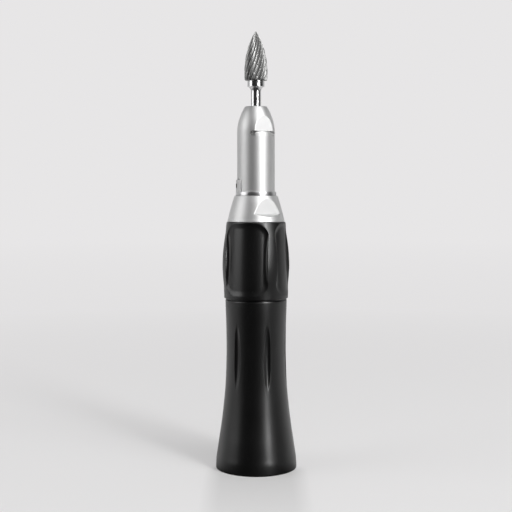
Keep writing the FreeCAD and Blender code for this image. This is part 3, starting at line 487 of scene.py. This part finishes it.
nose = {
    "tube": 4.37, "sides": 520, "step": 0.08,
    # foot, top and spacing of the tube's rows, which are closer where something is cut
    "rows": [(64.0, 65.55, 0.22), (65.62, 66.86, 0.07), (67.0, 77.65, 0.22), (77.7, 78.03, 0.05)],
    "ogive": [
        (4.37, 78.03), (4.355, 79.0), (4.27, 79.9), (4.1, 80.8), (3.91, 81.5), (3.62, 82.3), (3.29, 83.1),
        (2.94, 83.8), (2.66, 84.3),
    ],
    "topEdge": [(2.6, 84.4), (2.53, 84.46)],
    "inside": [
        (2.1, 84.46), (2.1, 82.26), (2.9, 81.46), (2.9, 77.43), (3.52, 77.43), (3.52, 54.33), (4.18, 54.33),
        (4.18, 60.0), (4.78, 60.0), (4.78, 60.9), (4.35, 60.9),
    ],
    "flatAt": 30, "flatDistance": 3.64, "flatFoot": 78.75,
    "cutHalfAngle": 41, "cutRadius": 0.5, "cutDepth": 0.8, "cutEndDepth": 1.25, "cutEdge": 0.06,
    "cutReach": 1.2, "barRadius": 0.4, "barDrop": 0.14, "barInset": 0.9, "barFall": 0.03, "barRounding": 0.12,
}
key = {
    "at": -77.5, "halfAngle": 25.5, "foot": 64.85, "top": 67.6, "outer": 4.66, "inner": 4.02,
    "corner": 1.2, "steps": 40, "gap": 0.1, "edge": 0.08,
    "holeRadius": 0.5, "holeFloor": 3.56, "holeEdge": 0.06,
}
keyMiddle = (key["foot"] + key["top"]) / 2


def keyReach(azimuth, height):
    # how far outside the key's outline a point is; the top corners are round
    corner = key["corner"]
    half = key["outer"] * math.radians(key["halfAngle"])
    side = abs(key["outer"] * math.radians(away(azimuth, key["at"])))
    if height > key["top"] - corner and side > half - corner:
        return math.hypot(side - half + corner, height - key["top"] + corner) - corner
    return max(side - half, height - key["top"])


def cutDepth(turn, height):
    # a round-ended cut with a low rounded bar left standing in it
    level = height - nose["flatFoot"] + nose["cutRadius"]
    along = abs(turn) * nose["tube"]
    half = math.radians(nose["cutHalfAngle"]) * nose["tube"]
    outside = math.hypot(max(0, along - half), level) - nose["cutRadius"]
    middle = level + nose["barDrop"]
    bar = math.hypot(max(0, along - half + nose["barInset"]), middle) - nose["barRadius"]
    standing = ramp(bar, nose["cutEdge"])
    deep = nose["cutEndDepth"] if along > half - nose["barInset"] else nose["cutDepth"]
    rounding = nose["barFall"]
    rounding += nose["barRounding"] * min(1, (middle / nose["barRadius"]) ** 2) * (middle > 0)
    return ramp(outside, nose["cutEdge"]) * (deep * (1 - standing) + rounding * standing)


def noseRule(azimuth, height, radius):
    # two flats with a cut under each, the key's seat, and the key's hole going on below the seat
    for at in (nose["flatAt"], nose["flatAt"] + 180):
        turn = math.radians(away(azimuth, at))
        if height > nose["flatFoot"] and abs(turn) < flatReach:
            radius = min(radius, nose["flatDistance"] / math.cos(turn))
        elif height > nose["flatFoot"] - nose["cutReach"]:
            radius -= cutDepth(turn, height)
    radius += (key["inner"] - radius) * ramp(keyReach(azimuth, height) - key["gap"], key["edge"])
    arc = key["inner"] * math.radians(away(azimuth, key["at"]))
    hole = math.hypot(arc, height - keyMiddle) - key["holeRadius"]
    return radius + (key["holeFloor"] - radius) * ramp(hole, key["holeEdge"])


def noseBore(height):
    # the ogive is thin at its tip, and nothing below the tube's foot is reshaped
    if height > 82:
        return 2.55
    return 3.6 if height > 63.9 else 9


outline = []
for foot, top, step in nose["rows"]:
    outline += straight([(nose["tube"], foot), (nose["tube"], top)], step)
outline += flowing(nose["ogive"], nose["step"]) + nose["topEdge"] + nose["inside"]
bm = turned(outline, nose["sides"])
reshape(bm, noseBore, noseRule)
finishPiece("noseTube", bm, "housing", "satin_silver", "nose_housing")


def makeKey():
    bm = bmesh.new()
    start = math.radians(key["at"] - key["halfAngle"] - 90)
    sides = [key["inner"], key["outer"], key["outer"], key["inner"]]
    levels = [key["foot"], key["foot"], key["top"], key["top"]]
    verts = [
        bm.verts.new((radius * mm * math.cos(start), radius * mm * math.sin(start), height * mm))
        for radius, height in zip(sides, levels)
    ]
    face = bm.faces.new(verts)
    spread = math.radians(2 * key["halfAngle"])
    bmesh.ops.spin(bm, geom=[face], cent=(0, 0, 0), axis=(0, 0, 1), angle=spread, steps=key["steps"])
    bmesh.ops.remove_doubles(bm, verts=bm.verts, dist=weld)
    bmesh.ops.recalc_face_normals(bm, faces=bm.faces)
    # the key's two top corners are rounded, along the short edges that run outwards at its ends
    top = key["top"] * mm
    ends = [start, start + spread]
    crown = []
    for edge in bm.edges:
        turns = [math.atan2(v.co.y, v.co.x) for v in edge.verts]
        level = all(abs(v.co.z - top) < weld for v in edge.verts)
        if level and abs(away(math.degrees(turns[0]), math.degrees(turns[1]))) < 0.01:
            if any(abs(away(math.degrees(turns[0]), math.degrees(end))) < 0.01 for end in ends):
                crown.append(edge)
    bmesh.ops.bevel(
        bm, geom=crown, offset=key["corner"] * mm, affect="EDGES", segments=10, profile=0.5, material=-1
    )
    bmesh.ops.recalc_face_normals(bm, faces=bm.faces)
    return bm


def makeKeyHole():
    # the drill, which stands across the key's outer face
    bm = bmesh.new()
    middle = math.radians(key["at"] - 90)
    radius = key["holeRadius"] * mm
    bmesh.ops.create_cone(bm, cap_ends=True, segments=48, radius1=radius, radius2=radius, depth=2 * mm)
    out = Vector((math.cos(middle), math.sin(middle), 0))
    turn = Vector((0, 0, 1)).rotation_difference(out).to_matrix()
    bmesh.ops.rotate(bm, verts=bm.verts, cent=(0, 0, 0), matrix=turn)
    bmesh.ops.translate(bm, verts=bm.verts, vec=out * key["outer"] * mm + Vector((0, 0, keyMiddle * mm)))
    return bm


def drilled(bm, cutter):
    # the boolean's result as a new bmesh
    objects = []
    for source in (bm, cutter):
        mesh = bpy.data.meshes.new("blank")
        source.to_mesh(mesh)
        source.free()
        item = bpy.data.objects.new("blank", mesh)
        bpy.context.scene.collection.objects.link(item)
        objects.append(item)
    cut = objects[0].modifiers.new("hole", "BOOLEAN")
    cut.object = objects[1]
    cut.operation = "DIFFERENCE"
    cut.solver = "EXACT"
    shaped = objects[0].evaluated_get(bpy.context.evaluated_depsgraph_get()).to_mesh()
    result = bmesh.new()
    result.from_mesh(shaped)
    for item in objects:
        bpy.data.objects.remove(item)
    return result


keyPiece = finishPiece(
    "locatingKey", drilled(makeKey(), makeKeyHole()), "housing", "satin_silver", "locating_key"
)
keyTurn = math.radians(key["at"])
# the key's silver has painted shade on its hole's wall
keyHoleShade = ((0, 0, keyMiddle * mm), (math.sin(keyTurn), -math.cos(keyTurn), 0), key["holeRadius"] * mm)
keyPiece.data.materials[0] = satinSilver("keySilverHoleShade", keyHoleShade)
print("nose done")


shank = {
    "radius": 1.175, "foot": 57.25, "neckFoot": 88.03, "neckRows": 13, "collarFoot": 89.06,
    "collarTop": 90.48, "collarRadius": 1.97, "edge": 0.15, "rowsFrom": 0.2, "step": 4, "sides": 160,
}
outline = [
    (0, shank["foot"]), (shank["radius"] - shank["edge"], shank["foot"]),
    (shank["radius"], shank["foot"] + shank["edge"]),
]
rows = [(shank["radius"], shank["foot"] + shank["rowsFrom"]), (shank["radius"], shank["neckFoot"])]
outline += straight(rows, shank["step"])
for i in range(1, shank["neckRows"]):
    turn = math.radians(90 * i / shank["neckRows"])
    flare = (shank["collarRadius"] - shank["radius"]) * (1 - math.cos(turn))
    rise = (shank["collarFoot"] - shank["neckFoot"]) * math.sin(turn)
    outline.append((shank["radius"] + flare, shank["neckFoot"] + rise))
outline += [
    (shank["collarRadius"], shank["collarFoot"]),
    (shank["collarRadius"], shank["collarTop"] - shank["edge"]),
    (shank["collarRadius"] - shank["edge"], shank["collarTop"]), (0, shank["collarTop"]),
]
bm = turned(outline, shank["sides"])
finishPiece("burShank", bm, "bur", "bur_chrome", "bur_shank")

burHead = {
    "profile": [
        (2.5, 90.48), (2.62, 90.75), (2.69, 91.6), (2.69, 92.4), (2.64, 93.5), (2.54, 94.6), (2.38, 95.7),
        (2.1, 97.0), (1.68, 98.4), (1.15, 99.8), (0.52, 101.0), (0.12, 101.62),
    ],
    "foot": 90.48, "footRing": 1.9, "tip": 101.75, "step": 0.11, "sides": 480,
    "flutes": 16, "depth": 0.34, "depthShare": 0.24, "helix": 23, "belly": 2.7,
    "gullet": 0.66, "toothCurve": 1.3,  # where in a flute the gullet ends, and how its floor curves
    "breaks": 9, "breakDepth": 0.1, "breakShare": 0.14, "breakTwist": -16.0, "breakWidth": 0.16,
    "breakEdge": 1.5,
}
turnPerMm = math.degrees(math.tan(math.radians(burHead["helix"])) / burHead["belly"])


def headCut(azimuth, height, radius):
    # saw-tooth flutes, crossed by narrow chip breakers of the other hand
    level = height - burHead["foot"]
    gullet = burHead["gullet"]
    share = ((azimuth - turnPerMm * level) * burHead["flutes"] / 360) % 1
    tooth = (share / gullet) ** burHead["toothCurve"] if share < gullet else (1 - share) / (1 - gullet)
    cross = ((azimuth - burHead["breakTwist"] * level) * burHead["breaks"] / 360) % 1
    notch = max(0, 1 - abs(cross - 0.5) / burHead["breakWidth"])
    depth = min(burHead["depth"], burHead["depthShare"] * radius)
    breakDepth = min(burHead["breakDepth"], burHead["breakShare"] * radius)
    return max(depth * tooth, min(1, notch * burHead["breakEdge"]) * breakDepth)


outline = [(0, burHead["foot"]), (burHead["footRing"], burHead["foot"])]
outline += flowing(burHead["profile"], burHead["step"]) + [(0, burHead["tip"])]
bm = turned(outline, burHead["sides"])
depthLayer = bm.verts.layers.float.new("depth")
for vert in bm.verts:
    azimuth, height, radius = measured(vert)
    # the tip's point and the middle of the foot stay
    if radius > 0.05 and (radius > 2 or height > burHead["foot"] + 0.1):
        cut = headCut(azimuth, height, radius)
        vert[depthLayer] = cut / burHead["depth"]
        pull(vert, (radius - cut) / radius)
finishPiece("burHead", bm, "bur", "bur_carbide", "bur_head", sharp=50)
print("bur done")


# metres from here on
studio = {
    "floor": (0.92, 0.915, 0.915), "floorCloud": 0.985, "floorRadius": 2.5, "far": (0.80, 0.79, 0.795),
    "ambient": 0.12, "dark": 0.02, "floorGloss": 0.03,
    # the strip keys shape a painted reflection of the object on the floor in front of it
    "stripHalfWidth": 0.012, "stripEdge": 0.00008, "stripEnd": 0.075, "stripFade": 0.065,
    "stripFloor": 0.78, "stripGlow": 0.75, "stripLit": 0.36,  # shares of the floor's and the glow's colour
    "glowFrom": 0.02, "glowOver": 0.3, "glowLeast": 0.48, "glowNear": 0.93,
    "eye": (0.0, -0.2429, 0.0664), "pitch": -3.898, "roll": 0.05, "lens": 73.27,
}


def makeFloor():
    bm = bmesh.new()
    bmesh.ops.create_circle(bm, cap_ends=True, segments=96, radius=studio["floorRadius"])
    mesh = bpy.data.meshes.new("floor")
    bm.to_mesh(mesh)
    bm.free()
    floor = bpy.data.objects.new("floor", mesh)
    bpy.context.scene.collection.objects.link(floor)
    f = Finish("studioFloor", {"Roughness": 0.9, "Specular IOR Level": 0.05})
    tint = f.blend(f.grain(60.0), studio["floor"], shaded(studio["floor"], studio["floorCloud"]))
    front = f.vector("DOT_PRODUCT", f.vector("NORMALIZE", f.place), (0, -1, 0), out="Value")
    side = f.vector("DOT_PRODUCT", f.place, (1, 0, 0), out="Value")
    spread = f.vector("LENGTH", f.place, out="Value")

    # painted reflection of the object: the floor is a shade darker in a soft strip in front of it
    paintedReflection = ((studio["stripHalfWidth"] ** 2 - side * side) / studio["stripEdge"]).clamped()
    paintedReflection = paintedReflection * (front * 3).clamped()
    paintedReflection = paintedReflection * ((studio["stripEnd"] - spread) / studio["stripFade"]).clamped()
    f.set("Base Color", f.blend(paintedReflection, tint, shaded(studio["floor"], studio["stripFloor"])))

    # seen by the camera, the floor goes over into the pale background away from the object
    fade = ((spread - studio["glowFrom"]) / studio["glowOver"]).clamped() * (1 - studio["glowLeast"])
    # the glow's share is smaller in the painted reflection, so more of the lit floor shows there
    fade = fade + studio["glowLeast"] - paintedReflection * studio["stripLit"]
    pale = f.blend(spread.clamped(), shaded(studio["far"], studio["glowNear"]), studio["far"])
    # the glow is darker in the painted reflection too
    pale = f.blend(paintedReflection, pale, shaded(studio["far"], studio["stripGlow"]))
    glow = f.add("ShaderNodeEmission", {}, {"Color": pale})
    seen = f.mixed(fade * f.ray("Is Camera Ray"), Wire(f, f.shader.outputs[0]), glow)

    # mirrored in the object, the floor in front of it is dark
    dim = f.add("ShaderNodeEmission", {}, {"Color": (1, 1, 1, 1), "Strength": studio["floorGloss"]})
    mirrored = f.mixed((front + 0.35).clamped() * f.ray("Is Glossy Ray"), seen, dim)
    f.links.new(mirrored.socket, f.output.inputs[0])
    mesh.materials.append(f.material)


def makeWorld():
    # the camera sees the pale background; it lights softly and is dark in mirrors
    world = bpy.data.worlds.new("studio")
    bpy.context.scene.world = world
    world.use_nodes = True
    sky = Tree(world.node_tree)

    def background(color, strength):
        return sky.add("ShaderNodeBackground", {}, {"Color": (*color, 1), "Strength": strength})

    lit = background((1, 1, 1), studio["ambient"])
    dark = background((1, 1, 1), studio["dark"])
    lit = sky.mixed(sky.ray("Is Glossy Ray"), lit, dark)
    seen = sky.mixed(sky.ray("Is Camera Ray"), lit, background(studio["far"], 1))
    output = sky.nodes.new("ShaderNodeOutputWorld")
    sky.links.new(seen.socket, output.inputs[0])


# azimuth, distance, height, width, tall, brightness of its face
lamps = {
    "keyLamp": (38, 0.62, 0.3, 0.13, 0.54, 10.5),
    "upperLamp": (53, 0.7, 0.37, 0.16, 0.4, 3.0),
    "leftLamp": (-76, 0.75, 0.34, 0.55, 0.6, 1.5),
    "backLeftLamp": (-132, 0.95, 0.33, 0.95, 0.6, 0.42),
    "backRightLamp": (128, 0.95, 0.33, 0.75, 0.6, 0.42),
    "backLamp": (180, 1.1, 0.33, 1.2, 0.6, 0.5),
}
lampAim = (0, 0, 0.06)
topLamp = {"place": (0.25, -0.45, 0.85), "aim": (0, 0, 0), "side": 0.8, "brightness": 1.3}


def makeLamp(name, place, aim, width, tall, brightness):
    data = bpy.data.lights.new(name, "AREA")
    data.shape = "RECTANGLE"
    data.size = width
    data.size_y = tall
    data.energy = brightness * 4 * width * tall
    lamp = bpy.data.objects.new(name, data)
    lamp.location = place
    lamp.rotation_euler = (Vector(aim) - Vector(place)).to_track_quat("-Z", "Y").to_euler()
    bpy.context.scene.collection.objects.link(lamp)
    lamp.visible_camera = False


def makeCamera():
    data = bpy.data.cameras.new("camera")
    data.lens = studio["lens"]
    data.sensor_width = 36
    data.clip_start = 0.01
    camera = bpy.data.objects.new("camera", data)
    camera.location = studio["eye"]
    camera.rotation_euler = (math.radians(90 + studio["pitch"]), math.radians(studio["roll"]), 0)
    bpy.context.scene.collection.objects.link(camera)
    bpy.context.scene.camera = camera


makeFloor()
makeWorld()
for name, (azimuth, distance, height, width, tall, brightness) in lamps.items():
    turn = math.radians(azimuth)
    place = (distance * math.sin(turn), -distance * math.cos(turn), height)
    makeLamp(name, place, lampAim, width, tall, brightness)
makeLamp("topLamp", topLamp["place"], topLamp["aim"], topLamp["side"], topLamp["side"], topLamp["brightness"])
makeCamera()
bpy.context.scene.view_settings.view_transform = "Standard"
print("studio done")
